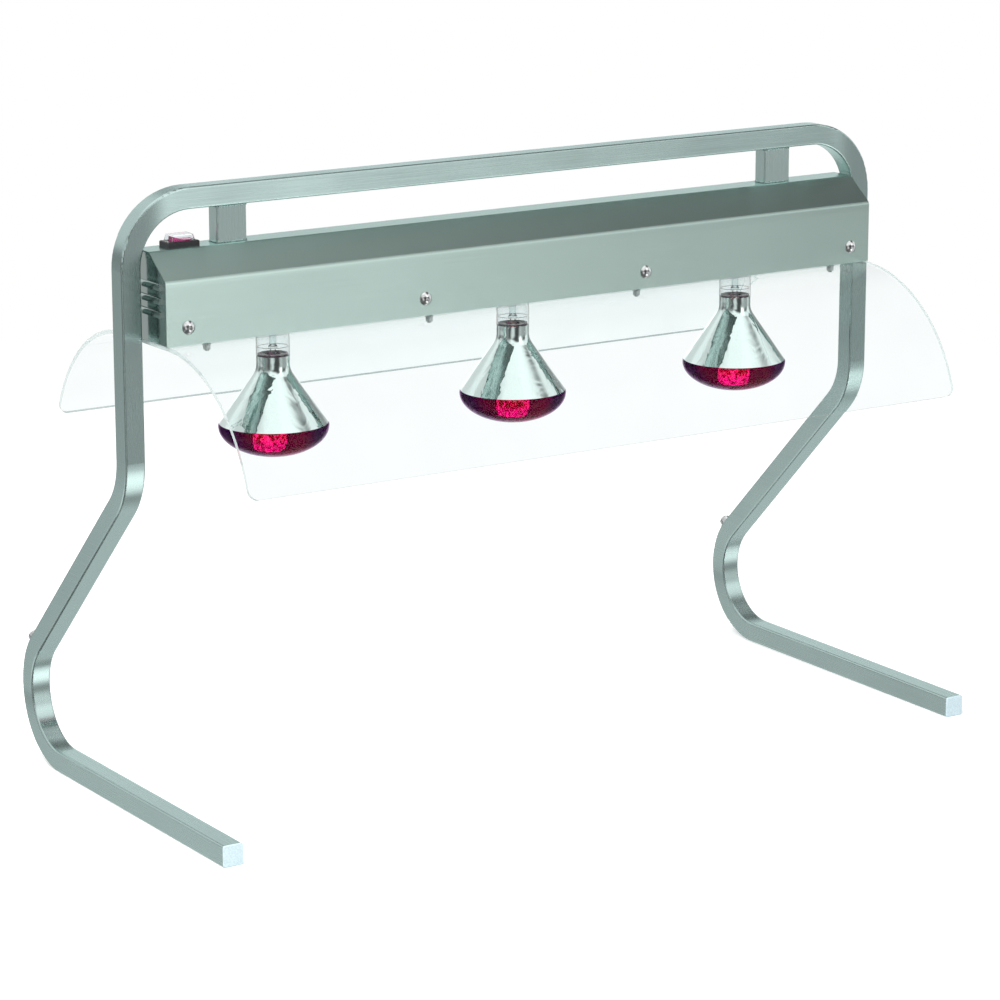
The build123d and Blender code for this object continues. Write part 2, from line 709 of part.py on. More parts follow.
with BuildPart() as guard_washers:
    with BuildSketch(Plane.XY.offset(washer_z)):
        with Locations(stud_places):
            Circle(STUD_WASHER_R)
            Circle(STUD_R + SCREW_HOLE_GAP, mode=Mode.SUBTRACT)
    extrude(amount=-STUD_WASHER)
finish(guard_washers, "guard_washers")

with BuildPart() as guard_nuts:
    with BuildSketch(Plane.XY.offset(nut_z)):
        with Locations(stud_places):
            RegularPolygon(STUD_NUT_FLATS / 2, 6, major_radius=False)
            Circle(STUD_R + THREAD_GAP, mode=Mode.SUBTRACT)
    extrude(amount=-STUD_NUT)
finish(guard_nuts, "guard_nuts")

# Levels of a bulb, from its lens up to the tip of its cap
rim_centre_r = BULB_R - RIM_R
cone_run = rim_centre_r - NECK_R
cone_slope = atan2(cone_run, CONE_HEIGHT)
cone_angle = cone_slope + asin(RIM_R / hypot(cone_run, CONE_HEIGHT))
neck_z = BULB_WIDEST_Z + CONE_HEIGHT
silver_top = neck_z + SILVER_NECK
clear_top = silver_top + CLEAR_NECK
cap_z = clear_top + CAP_SHOULDER + CEMENT_GAP
cap_tip = cap_z + CAP_HEIGHT
cap_inner_r = CAP_ROOT_R - CAP_WALL
tail_r = cap_inner_r - CEMENT_GAP


def bulb_plane(x):
    """Half plane of a bulb's turned profiles: radius across, height up."""
    return Plane(origin=(x, LAMP_Y, 0), x_dir=(1, 0, 0), z_dir=(0, -1, 0))


def rim_point(radius):
    """Where the cone leaves the rim's rounding."""
    return (
        rim_centre_r + radius * cos(cone_angle),
        BULB_WIDEST_Z + radius * sin(cone_angle),
    )


for number, x in enumerate(BULB_XS, start=1):
    bulb_axis = Axis((x, LAMP_Y, 0), (0, 0, 1))

    with BuildPart() as lens:
        with BuildSketch(bulb_plane(x)):
            with BuildLine():
                EllipticalCenterArc((0, BULB_WIDEST_Z), BULB_R, LENS_DEPTH, 270, arc_size=90)
                CenterArc((rim_centre_r, BULB_WIDEST_Z), RIM_R, 0, degrees(cone_angle))
                Line(rim_point(RIM_R), rim_point(RIM_R - GLASS))
                CenterArc((rim_centre_r, BULB_WIDEST_Z), RIM_R - GLASS, 0, degrees(cone_angle))
                EllipticalCenterArc(
                    (0, BULB_WIDEST_Z), BULB_R - GLASS, LENS_DEPTH - GLASS, 270, arc_size=90
                )
                Line((0, BULB_WIDEST_Z - LENS_DEPTH + GLASS), (0, BULB_WIDEST_Z - LENS_DEPTH))
            make_face()
        revolve(axis=bulb_axis)
    finish(lens, f"bulb_{number}_lens")

    with BuildPart() as reflector:
        with BuildSketch(bulb_plane(x)):
            with BuildLine():
                FilletPolyline(
                    rim_point(RIM_R), (NECK_R, neck_z), (NECK_R, silver_top), radius=CONE_NECK_R
                )
                offset(amount=GLASS, side=Side.LEFT)
            make_face()
        revolve(axis=bulb_axis)
    finish(reflector, f"bulb_{number}_reflector")

    with BuildPart() as neck:
        with BuildSketch(bulb_plane(x)):
            with BuildLine():
                Polyline(
                    (NECK_R, silver_top),
                    (NECK_R, clear_top),
                    (tail_r, clear_top + CAP_SHOULDER),
                    (tail_r, clear_top + CAP_SHOULDER + NECK_TAIL),
                    (tail_r - GLASS, clear_top + CAP_SHOULDER + NECK_TAIL),
                    (tail_r - GLASS, clear_top + CAP_SHOULDER - GLASS),
                    (NECK_R - GLASS, clear_top - GLASS / 2),
                    (NECK_R - GLASS, silver_top),
                    close=True,
                )
            make_face()
        revolve(axis=bulb_axis)
    finish(neck, f"bulb_{number}_neck")

    stem_top = clear_top + CAP_SHOULDER + NECK_TAIL
    stem_end = stem_top - STEM_LENGTH
    with BuildPart() as stem:
        profile = [
            (0, stem_top),
            (tail_r - GLASS - SEAT_GAP, stem_top),
            (tail_r - GLASS - SEAT_GAP, stem_top - STEM_FLARE),
            (STEM_R, stem_top - STEM_FLARE_HEIGHT),
            (STEM_R, stem_end + 2 * STEM_PRESS),
            (STEM_PRESS_R, stem_end + STEM_PRESS),
            (STEM_PRESS_R, stem_end),
            (0, stem_end),
        ]
        turned((x, LAMP_Y, 0), (0, 0, 1), profile)
    finish(stem, f"bulb_{number}_stem")

    coil_z = stem_end - LEAD_LENGTH
    with BuildPart() as filament:
        for end in (-1, 1):
            foot = Vector(x + end * STEM_PRESS_R / 2, LAMP_Y, stem_end - LEAD_R)
            tip = Vector(x + end * LEAD_SPREAD, LAMP_Y, coil_z)
            with BuildLine():
                Line(foot, tip)
            with BuildSketch(Plane(origin=foot, z_dir=tip - foot)):
                Circle(LEAD_R)
            sweep()
        with BuildLine() as coil_line:
            ThreePointArc(
                (x - LEAD_SPREAD, LAMP_Y, coil_z),
                (x, LAMP_Y - LEAD_SPREAD, coil_z),
                (x + LEAD_SPREAD, LAMP_Y, coil_z),
            )
        with BuildSketch(Plane(origin=coil_line.line @ 0, z_dir=coil_line.line % 0)):
            Circle(COIL_R)
        sweep(path=coil_line.line)
    finish(filament, f"bulb_{number}_filament")

    thread_z = cap_z + CAP_SKIRT
    thread_points = []
    for i in range(CAP_THREADS):
        start = thread_z + i * CAP_PITCH
        thread_points += [
            (CAP_ROOT_R, start),
            (CAP_R, start + CAP_PITCH / 4),
            (CAP_R, start + CAP_PITCH / 2),
            (CAP_ROOT_R, start + 3 * CAP_PITCH / 4),
        ]
    thread_top = thread_z + CAP_THREADS * CAP_PITCH
    with BuildPart() as cap:
        profile = [
            (cap_inner_r, cap_z),
            (CAP_ROOT_R + CAP_WALL, cap_z),
            (CAP_ROOT_R + CAP_WALL, thread_z),
            *thread_points,
            (CAP_ROOT_R, thread_top),
            (CAP_TIP_R, cap_tip - CAP_TIP),
            (CAP_TIP_R, cap_tip),
            (0, cap_tip),
            (0, thread_top),
            (cap_inner_r, thread_top),
        ]
        turned((x, LAMP_Y, 0), (0, 0, 1), profile)
    finish(cap, f"bulb_{number}_cap")

# Lamp holders: ceramic body, threaded shell and centre contact
holder_mouth = cap_z + HOLDER_MOUTH_GAP
shell_inner_r = CAP_R + HOLDER_SHELL_GAP
shell_outer_r = shell_inner_r + HOLDER_SHELL
contact_z = cap_tip + CONTACT_GAP
bore_top = contact_z + CONTACT_SHEET + CONTACT_POST
holder_top = bore_top + HOLDER_TOP_WALL
holder_screw_xs = [x + dx for x in BULB_XS for dx in spread(HOLDER_SCREW_PITCH, 2)]
for number, x in enumerate(BULB_XS, start=1):
    with BuildPart() as holder:
        with BuildSketch(Plane((x, LAMP_Y, holder_mouth))):
            Circle(HOLDER_R)
        extrude(amount=holder_top - holder_mouth)
        with BuildSketch(Plane((x, LAMP_Y, holder_mouth))):
            Circle(shell_outer_r + SEAT_GAP)
        extrude(amount=bore_top - holder_mouth, mode=Mode.SUBTRACT)
        with BuildSketch(Plane((x, LAMP_Y, holder_top))):
            with Locations([(dx, 0) for dx in spread(HOLDER_SCREW_PITCH, 2)]):
                Circle(SMALL_SCREW_R + THREAD_GAP)
        extrude(amount=SHEET - SMALL_SCREW_SHANK, mode=Mode.SUBTRACT)
    finish(holder, f"holder_{number}_body")

    with BuildPart() as shell:
        with BuildSketch(Plane((x, LAMP_Y, holder_mouth + SHEET))):
            Circle(shell_outer_r)
            Circle(shell_inner_r, mode=Mode.SUBTRACT)
        extrude(amount=bore_top - holder_mouth - SHEET)
    finish(shell, f"holder_{number}_shell")

with BuildPart() as holder_contacts:
    for x in BULB_XS:
        contact = [
            (0, contact_z),
            (CONTACT_R, contact_z),
            (CONTACT_R, contact_z + CONTACT_SHEET),
            (CONTACT_POST_R, contact_z + CONTACT_SHEET),
            (CONTACT_POST_R, bore_top),
            (0, bore_top),
        ]
        turned((x, LAMP_Y, 0), (0, 0, 1), contact)
finish(holder_contacts, "holder_contacts")

# Rail that carries the holders, with folded legs welded to the tray
rail_end = BULB_XS[-1] + HOLDER_RAIL_END
with BuildPart() as holder_rail:
    with BuildSketch(FACE_PLANE):
        with BuildLine():
            FilletPolyline(
                (-rail_end - HOLDER_RAIL_FOOT, TRAY_TOP),
                (-rail_end, TRAY_TOP),
                (-rail_end, holder_top),
                (rail_end, holder_top),
                (rail_end, TRAY_TOP),
                (rail_end + HOLDER_RAIL_FOOT, TRAY_TOP),
                radius=FOLD_R,
            )
            offset(amount=SHEET, side=Side.LEFT)
        make_face()
    extrude(amount=HOLDER_RAIL_WIDTH / 2, both=True)
    with BuildSketch(Plane.XY.offset(holder_top)):
        with Locations([(x, LAMP_Y) for x in holder_screw_xs]):
            Circle(SMALL_SCREW_R + SCREW_HOLE_GAP)
    extrude(amount=SHEET, mode=Mode.SUBTRACT)
finish(holder_rail, "holder_rail")

with BuildPart() as holder_screws:
    for x in holder_screw_xs:
        domed_screw(
            (x, LAMP_Y, holder_top + SHEET),
            (0, 0, 1),
            SMALL_SCREW_R,
            SMALL_SCREW_SHANK,
            SMALL_SCREW_HEAD_R,
            SMALL_SCREW_HEAD_SIDE,
            SMALL_SCREW_HEAD,
        )
finish(holder_screws, "holder_screws")


# Rocker switch: bezel and body in one moulding, rocker on two trunnions, clear splash cover
def centred_plane(x, z):
    """Level plane centred on the lamp plane."""
    return Plane((x, LAMP_Y, z))


pivot_z = HOUSING_TOP + ROCKER_PIVOT_HEIGHT
trunnion_end = ROCKER_WIDTH / 2 + ROCKER_PIN_LENGTH
with BuildPart() as switch_body:
    with BuildSketch(centred_plane(SWITCH_X, HOUSING_TOP)):
        Rectangle(BEZEL_LENGTH, BEZEL_WIDTH)
    extrude(amount=BEZEL_HEIGHT)
    chamfer(switch_body.faces().sort_by(Axis.Z)[-1].edges(), BEZEL_CHAMFER)
    with BuildSketch(centred_plane(SWITCH_X, HOUSING_TOP)):
        Rectangle(SWITCH_BODY_LENGTH, SWITCH_BODY_WIDTH)
    extrude(amount=-SWITCH_BODY_DEPTH)
    with BuildSketch(centred_plane(SWITCH_X, HOUSING_TOP + BEZEL_HEIGHT)):
        Rectangle(SWITCH_WELL_LENGTH, SWITCH_WELL_WIDTH)
    extrude(amount=-SWITCH_WELL_DEPTH, mode=Mode.SUBTRACT)
    with BuildSketch(FACE_PLANE):
        with Locations((SWITCH_X, pivot_z)):
            Circle(ROCKER_PIN_R + ROCKER_PIN_GAP)
    extrude(amount=trunnion_end + SEAT_GAP, both=True, mode=Mode.SUBTRACT)
finish(switch_body, "switch_body")

half_rocker = ROCKER_LENGTH / 2
rocker_slope = radians(ROCKER_TILT)
rocker_plane = Plane(
    origin=(SWITCH_X, LAMP_Y, pivot_z),
    x_dir=(cos(rocker_slope), 0, -sin(rocker_slope)),
    z_dir=(0, -1, 0),
)
with BuildPart() as switch_rocker:
    with BuildSketch(rocker_plane):
        with BuildLine():
            Polyline(
                (-half_rocker, 0),
                (-half_rocker, ROCKER_CROWN),
                (0, ROCKER_CROWN - ROCKER_DIP),
                (half_rocker, ROCKER_CROWN),
                (half_rocker, 0),
                (half_rocker / 2, -ROCKER_KEEL),
                (-half_rocker / 2, -ROCKER_KEEL),
                close=True,
            )
        make_face()
    extrude(amount=ROCKER_WIDTH / 2, both=True)
    with BuildSketch(rocker_plane):
        Circle(ROCKER_PIN_R)
    extrude(amount=trunnion_end, both=True)
finish(switch_rocker, "switch_rocker")

boot_z = HOUSING_TOP + BEZEL_HEIGHT
with BuildPart() as switch_boot:
    with BuildSketch(centred_plane(SWITCH_X, boot_z)):
        Rectangle(BOOT_BASE_LENGTH, BOOT_BASE_WIDTH)
    with BuildSketch(centred_plane(SWITCH_X, boot_z + BOOT_HEIGHT)):
        Rectangle(BOOT_TOP_LENGTH, BOOT_TOP_WIDTH)
    loft()
    offset(amount=-BOOT_WALL, openings=switch_boot.faces().sort_by(Axis.Z)[0])
finish(switch_boot, "switch_boot")

blade_top = HOUSING_TOP - SWITCH_BODY_DEPTH
blade_xs = [SWITCH_X + dx for dx in spread(BLADE_PITCH, BLADE_COUNT)]
with BuildPart() as switch_blades:
    with BuildSketch(Plane.XY.offset(blade_top)):
        with Locations([(x, LAMP_Y) for x in blade_xs]):
            Rectangle(BLADE_SHEET, BLADE_WIDTH)
    extrude(amount=-BLADE_LENGTH)
finish(switch_blades, "switch_blades")

# Terminal block on the tray
block_ways = [BLOCK_X + dx for dx in spread(WIRE_LANE, BLOCK_WAYS)]
block_bore_z = TRAY_TOP + BLOCK_HEIGHT / 2
with BuildPart() as terminal_block:
    with BuildSketch(centred_plane(BLOCK_X, TRAY_TOP)):
        Rectangle(BLOCK_LENGTH, BLOCK_WIDTH)
    extrude(amount=BLOCK_HEIGHT)
    with BuildSketch(FACE_PLANE):
        with Locations([(x, block_bore_z) for x in block_ways]):
            Circle(BLOCK_BORE_R)
    extrude(amount=BLOCK_WIDTH / 2, both=True, mode=Mode.SUBTRACT)
finish(terminal_block, "terminal_block")


def wire(points):
    """Adds a wire along straight stretches with rounded corners."""
    with BuildLine() as route:
        FilletPolyline(*points, radius=WIRE_BEND_R)
    with BuildSketch(Plane(origin=route.line @ 0, z_dir=route.line % 0)) as section:
        Circle(WIRE_R)
    sweep(section.sketch, path=route.line)


def holder_branches(row):
    """Adds the short wires from a long one to the front or back of each holder."""
    with BuildSketch(FACE_PLANE.offset(-row * WIRE_SIDE_Y)) as sections:
        with Locations([(x, low_z) for x in BULB_XS]):
            Circle(WIRE_BRANCH_R)
    extrude(sections.sketch, amount=row * (WIRE_SIDE_Y - HOLDER_R - SEAT_GAP))


block_side = BLOCK_WIDTH / 2 + SEAT_GAP
low_z = holder_top - WIRE_DROP
high_z = blade_top - BLADE_LENGTH - WIRE_DROP
blade_end = blade_top - BLADE_LENGTH - SEAT_GAP
front_y = LAMP_Y - WIRE_SIDE_Y
back_y = LAMP_Y + WIRE_SIDE_Y
back_face = LAMP_Y + HOUSING_DEPTH / 2
outer_y = back_face - WIRE_BACK_GAP
with BuildPart() as neutral_wire:
    wire(
        [
            (BULB_XS[0] - 2 * WIRE_R, front_y, low_z),
            (block_ways[0], front_y, low_z),
            (block_ways[0], front_y, block_bore_z),
            (block_ways[0], LAMP_Y - block_side, block_bore_z),
        ]
    )
    holder_branches(ROWS["front"])
finish(neutral_wire, "neutral_wire")

with BuildPart() as switched_wire:
    wire(
        [
            (BULB_XS[-1] + 2 * WIRE_R, back_y, low_z),
            (blade_xs[1], back_y, low_z),
            (blade_xs[1], back_y, high_z),
            (blade_xs[1], LAMP_Y, high_z),
            (blade_xs[1], LAMP_Y, blade_end),
        ]
    )
    holder_branches(ROWS["back"])
finish(switched_wire, "switched_wire")

with BuildPart() as supply_wire:
    wire(
        [
            (block_ways[-1], LAMP_Y + block_side, block_bore_z),
            (block_ways[-1], outer_y, block_bore_z),
            (block_ways[-1], outer_y, low_z),
            (blade_xs[0], outer_y, low_z),
            (blade_xs[0], outer_y, high_z),
            (blade_xs[0], LAMP_Y, high_z),
            (blade_xs[0], LAMP_Y, blade_end),
        ]
    )
finish(supply_wire, "supply_wire")

# Cable gland in the back of the cover
gland_z = HOUSING_Z + GLAND_HEIGHT
gland_plane = Plane(origin=(GLAND_X, back_face, gland_z), x_dir=(1, 0, 0), z_dir=(0, 1, 0))
gland_tail = SHEET + GLAND_NUT + SHEET
with BuildPart() as cable_gland:
    with BuildSketch(gland_plane):
        RegularPolygon(GLAND_FLATS / 2, 6, major_radius=False)
    extrude(amount=GLAND_COLLAR)
    with BuildSketch(gland_plane.offset(GLAND_COLLAR)):
        Circle(GLAND_FLATS / 2)
    extrude(amount=GLAND_CAP)
    fillet(cable_gland.faces().sort_by(Axis.Y)[-1].edges(), GLAND_CAP_FILLET)
    with BuildSketch(gland_plane):
        Circle(GLAND_R)
    extrude(amount=-gland_tail)
    with BuildSketch(gland_plane.offset(-gland_tail)):
        Circle(GLAND_BORE_R)
    extrude(amount=gland_tail + GLAND_COLLAR + GLAND_CAP, mode=Mode.SUBTRACT)
finish(cable_gland, "cable_gland")

with BuildPart() as gland_nut:
    with BuildSketch(gland_plane.offset(-SHEET)):
        RegularPolygon(GLAND_FLATS / 2, 6, major_radius=False)
        Circle(GLAND_R + THREAD_GAP, mode=Mode.SUBTRACT)
    extrude(amount=-GLAND_NUT)
finish(gland_nut, "gland_nut")
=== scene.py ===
import math

import bmesh
import bpy
from mathutils import Matrix, Vector, noise

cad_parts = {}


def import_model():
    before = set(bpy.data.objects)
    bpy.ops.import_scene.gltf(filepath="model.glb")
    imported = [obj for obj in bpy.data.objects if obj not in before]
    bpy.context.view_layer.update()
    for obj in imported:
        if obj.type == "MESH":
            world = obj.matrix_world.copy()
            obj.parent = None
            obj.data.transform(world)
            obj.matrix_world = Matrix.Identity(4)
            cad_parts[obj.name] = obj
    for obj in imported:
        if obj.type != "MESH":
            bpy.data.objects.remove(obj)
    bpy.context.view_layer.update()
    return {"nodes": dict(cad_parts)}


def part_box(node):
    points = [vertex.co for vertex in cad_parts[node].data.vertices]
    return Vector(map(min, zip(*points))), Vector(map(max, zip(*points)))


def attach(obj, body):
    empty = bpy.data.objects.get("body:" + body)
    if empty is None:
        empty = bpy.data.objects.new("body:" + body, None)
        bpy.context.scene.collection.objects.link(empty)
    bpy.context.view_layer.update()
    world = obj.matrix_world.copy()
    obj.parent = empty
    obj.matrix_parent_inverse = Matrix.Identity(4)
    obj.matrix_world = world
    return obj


# Food heat lamp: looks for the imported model, and the photograph's camera, floor and light.

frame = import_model()
NODES = frame["nodes"]
LAMP_Y = (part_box("top_rail")[0].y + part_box("top_rail")[1].y) / 2


# Node helpers

class NodeTree:
    """An emptied node tree and short calls that wire nodes into it."""

    def __init__(self, tree):
        self.tree = tree
        self.tree.nodes.clear()

    def link(self, a, b):
        self.tree.links.new(a, b)

    def fill(self, socket, value):
        """Links another node's output to a socket, or sets the socket's own value."""
        if isinstance(value, bpy.types.NodeSocket):
            self.link(value, socket)
        else:
            socket.default_value = value

    def node(self, kind, **inputs):
        """New node with its inputs filled by name, or by number where the key is i0, i1."""
        node = self.tree.nodes.new(kind)
        for key, value in inputs.items():
            numbered = key[0] == "i" and key[1:].isdigit()
            self.fill(node.inputs[int(key[1:]) if numbered else key], value)
        return node

    def noise(self, vector, detail=3.0, roughness=0.55, distortion=0.0):
        node = self.node("ShaderNodeTexNoise", Vector=vector, Scale=1.0, Detail=detail,
                         Roughness=roughness, Distortion=distortion)
        return node.outputs["Fac"]

    def math(self, operation, a, b=0.0):
        node = self.node("ShaderNodeMath", i0=a, i1=b)
        node.operation = operation
        return node.outputs[0]

    def vector_math(self, operation, *vectors):
        """Vector maths node: its outputs are the vector and, as Value, the number."""
        node = self.node("ShaderNodeVectorMath", **{f"i{i}": vector for i, vector in enumerate(vectors)})
        node.operation = operation
        return node.outputs

    def ramp(self, value, low, high, to_low=0.0, to_high=1.0, smooth=True):
        node = self.node("ShaderNodeMapRange", Value=value)
        node.interpolation_type = "SMOOTHSTEP" if smooth else "LINEAR"
        node.inputs["From Min"].default_value = low
        node.inputs["From Max"].default_value = high
        node.inputs["To Min"].default_value = to_low
        node.inputs["To Max"].default_value = to_high
        return node.outputs[0]

    def blend(self, kind, first, output, factor, a, b):
        """Mix node of one kind, whose two values go into the inputs from number first on."""
        node = self.tree.nodes.new("ShaderNodeMix")
        node.data_type = kind
        self.fill(node.inputs[0], factor)
        self.fill(node.inputs[first], a)
        self.fill(node.inputs[first + 1], b)
        return node.outputs[output]

    def mix(self, factor, a, b):
        return self.blend("FLOAT", 2, 0, factor, a, b)

    def mix_vector(self, factor, a, b):
        return self.blend("VECTOR", 4, 1, factor, a, b)

    def mix_colour(self, factor, a, b):
        colours = [value if isinstance(value, bpy.types.NodeSocket) else (*value, 1) for value in (a, b)]
        return self.blend("RGBA", 6, 2, factor, *colours)

    def in_view(self):
        """1 for what the camera sees straight or through glass, else 0, as for what metal mirrors."""
        path = self.tree.nodes.new("ShaderNodeLightPath").outputs
        unmirrored = self.math("LESS_THAN", path["Glossy Depth"], 0.5)
        through = self.math("MULTIPLY", path["Is Transmission Ray"], unmirrored)
        return self.math("MAXIMUM", path["Is Camera Ray"], through)


class Shader(NodeTree):
    """A Principled material, its place and facing, and calls that fill its main sockets."""

    def __init__(self, name, colour, roughness, metallic=0.0, **sockets):
        self.material = bpy.data.materials.new(name)
        self.material.use_nodes = True
        super().__init__(self.material.node_tree)
        self.out = self.tree.nodes.new("ShaderNodeOutputMaterial")
        self.bsdf = self.tree.nodes.new("ShaderNodeBsdfPrincipled")
        self.link(self.bsdf.outputs[0], self.out.inputs["Surface"])
        self.bsdf.inputs["Base Color"].default_value = (*colour, 1)
        self.bsdf.inputs["Roughness"].default_value = roughness
        self.bsdf.inputs["Metallic"].default_value = metallic
        for key, value in sockets.items():
            self.bsdf.inputs[key.replace("_", " ")].default_value = value
        self.coords = self.tree.nodes.new("ShaderNodeTexCoord").outputs["Object"]

    def mapped(self, scale, rotation=(0, 0, 0)):
        return self.node("ShaderNodeMapping", Vector=self.coords, Scale=scale, Rotation=rotation).outputs[0]

    def axis(self, letter):
        """One coordinate of the surface's point."""
        return self.node("ShaderNodeSeparateXYZ", Vector=self.coords).outputs[letter]

    def facing(self, letter):
        """One coordinate of the surface's normal."""
        normal = self.tree.nodes.new("ShaderNodeNewGeometry").outputs["Normal"]
        return self.node("ShaderNodeSeparateXYZ", Vector=normal).outputs[letter]

    def colour(self, socket):
        self.link(socket, self.bsdf.inputs["Base Color"])

    def roughness(self, socket):
        self.link(socket, self.bsdf.inputs["Roughness"])

    def bump(self, height, strength, distance, swell=None):
        """Fine relief, over a wider relief where swell gives its height in metres."""
        node = self.node("ShaderNodeBump", Height=height)
        node.inputs["Strength"].default_value = strength
        node.inputs["Distance"].default_value = distance
        if swell:
            under = self.node("ShaderNodeBump", Height=swell(self))
            under.inputs["Strength"].default_value = 1.0
            under.inputs["Distance"].default_value = 1.0
            self.link(under.outputs[0], node.inputs["Normal"])
        self.link(node.outputs[0], self.bsdf.inputs["Normal"])


# Nearly all of a noise's values lie between these two.
SPREAD = (0.3, 0.7)

STEEL = (0.50, 0.64, 0.615)
COVER_STEEL = (0.505, 0.645, 0.600)
STEEL_TINT = (0.90, 1.0, 1.0, 1)
CLOUD_SHARE = 0.45
STREAK_DEPTH = 0.00012

# Brushing: how often it changes across and along, and its direction on each part. The small
# second component keeps it from lying along the normal of a face, which leaves no highlight.
FINE = 900.0
LONG = 9.0
ALONG_X = (LONG, FINE, FINE)
ALONG_Y = (FINE, LONG, FINE)
ALONG_Z = (FINE, FINE, LONG)
BRUSH_X = (1.0, 0.0, 0.05)
BRUSH_Y = (0.05, 1.0, 0.0)
BRUSH_Z = (0.05, 0.0, 1.0)
SLANT = math.radians(44.7)
BRUSH_SLANT = (0.05, -math.cos(SLANT), math.sin(SLANT))

# The brushing turns between these places: |x| in the rail, height in the legs.
RAIL_BEND = (0.445, 0.505)
KNEE_BEND = (0.03, 0.12)
HIP_BEND = (0.35, 0.42)

# The cover's front and back end at this height in a fold, and roll in towards it.
FRONT_HEIGHT = 0.073
FOLD_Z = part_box("housing_cover")[0].z + FRONT_HEIGHT
FOLD_ROLL = 0.011
FOLD_DEPTH = 0.0010


def steel_finish(shader, streaks, brush, colour=STEEL, strength=0.2,
                 low=0.21, high=0.31, vary=0.08, swell=None):
    """Colour, roughness, bump and highlight direction of steel brushed along a direction."""
    cloud = shader.noise(shader.mapped((7, 7, 7)), detail=2)
    tone = shader.mix(CLOUD_SHARE, streaks, cloud)
    spread = shader.ramp(tone, *SPREAD)
    dark = tuple(c * (1 - vary) for c in colour)
    light = tuple(c * (1 + vary) for c in colour)
    shader.colour(shader.mix_colour(spread, dark, light))
    shader.roughness(shader.ramp(tone, 0.25, 0.75, low, high))
    shader.bump(streaks, strength, STREAK_DEPTH, swell)
    shader.bsdf.inputs["Specular Tint"].default_value = STEEL_TINT
    normal = shader.tree.nodes.new("ShaderNodeNewGeometry").outputs["Normal"]
    across = shader.vector_math("CROSS_PRODUCT", normal, brush)["Vector"]
    shader.link(across, shader.bsdf.inputs["Tangent"])


def brushed(name, anisotropy=0.9):
    """Steel shader that steel_finish completes."""
    return Shader(name, STEEL, 0.27, 1.0, Anisotropic=anisotropy)


def streak_noise(shader, scale, rotation=(0, 0, 0)):
    """Long thin streaks along the axis that the scale stretches."""
    return shader.noise(shader.mapped(scale, rotation), detail=4, roughness=0.7)


def sheet_steel(name, scale, brush, anisotropy=0.9, **finish):
    """Sheet with its brushing along one axis."""
    shader = brushed(name, anisotropy)
    streaks = streak_noise(shader, scale)
    steel_finish(shader, streaks, brush, **finish)
    return shader.material


def fold_roll(shader):
    """Height of the cover's front and back, which roll in towards the fold above them."""
    reach = shader.ramp(shader.axis("Z"), FOLD_Z - FOLD_ROLL, FOLD_Z, smooth=False)
    return shader.math("MULTIPLY", shader.math("MULTIPLY", reach, reach), -FOLD_DEPTH)


def rail_steel():
    """Tube of the rail: brushing along the rail, turning down in the corner bends."""
    shader = brushed("rail_steel")
    along = streak_noise(shader, ALONG_X)
    down = streak_noise(shader, ALONG_Z)
    turn = shader.ramp(shader.math("ABSOLUTE", shader.axis("X")), *RAIL_BEND)
    brush = shader.mix_vector(turn, BRUSH_X, BRUSH_Z)
    steel_finish(shader, shader.mix(turn, along, down), brush)
    return shader.material


def leg_steel():
    """Tube of a leg: brushing along the foot, the slant and the upright."""
    shader = brushed("leg_steel")
    height = shader.axis("Z")
    foot = streak_noise(shader, ALONG_Y)
    slant = streak_noise(shader, ALONG_Y, rotation=(SLANT, 0, 0))
    upright = streak_noise(shader, ALONG_Z)
    low = shader.ramp(height, *KNEE_BEND)
    high = shader.ramp(height, *HIP_BEND)
    streaks = shader.mix(high, shader.mix(low, foot, slant), upright)
    brush = shader.mix_vector(high, shader.mix_vector(low, BRUSH_Y, BRUSH_SLANT), BRUSH_Z)
    steel_finish(shader, streaks, brush)
    return shader.material


def metal(name, colour, roughness, grain=400.0):
    """Plain metal with a fine even grain."""
    shader = Shader(name, colour, roughness, 1.0)
    fine = shader.noise(shader.mapped((grain, grain, grain)), detail=3)
    dark = tuple(c * 0.8 for c in colour)
    shader.colour(shader.mix_colour(shader.ramp(fine, 0.35, 0.65), dark, colour))
    shader.roughness(shader.ramp(fine, *SPREAD, roughness * 0.8, roughness * 1.25))
    shader.bump(fine, 0.1, 0.0001)
    return shader.material


def plastic(name, colour, roughness, grain=900.0, **sockets):
    """Moulded plastic with a fine texture."""
    shader = Shader(name, colour, roughness, 0.0, **sockets)
    fine = shader.noise(shader.mapped((grain, grain, grain)), detail=2)
    light = tuple(min(1.0, c * 1.25 + 0.004) for c in colour)
    shader.colour(shader.mix_colour(shader.ramp(fine, *SPREAD), colour, light))
    shader.roughness(shader.ramp(fine, *SPREAD, roughness * 0.85, roughness * 1.15))
    shader.bump(fine, 0.12, 0.0001)
    return shader.material


def clear_glass(name, colour, low=0.0, high=0.03, ior=1.49, shine=0.5, shadow=0.1):
    """Clear glass or plastic that lets nearly all light through to what lies behind it.

    The shader keeps its tint and its cover, for a finish that adds to them.
    """
    shader = Shader(name, colour, low, 0.0, IOR=ior, Transmission_Weight=1.0, Specular_IOR_Level=shine)
    haze = shader.noise(shader.mapped((14, 14, 14)), detail=2)
    faint = tuple(c * 0.985 for c in colour)
    shader.tint = shader.mix_colour(shader.ramp(haze, *SPREAD), faint, colour)
    shader.colour(shader.tint)
    shader.roughness(shader.ramp(haze, *SPREAD, low, high))
    path = shader.tree.nodes.new("ShaderNodeLightPath")
    looked_at = shader.math("MAXIMUM", path.outputs["Is Camera Ray"], path.outputs["Is Transmission Ray"])
    shader.cover = shader.mix(looked_at, shadow, 1.0)
    shader.link(shader.cover, shader.bsdf.inputs["Alpha"])
    return shader


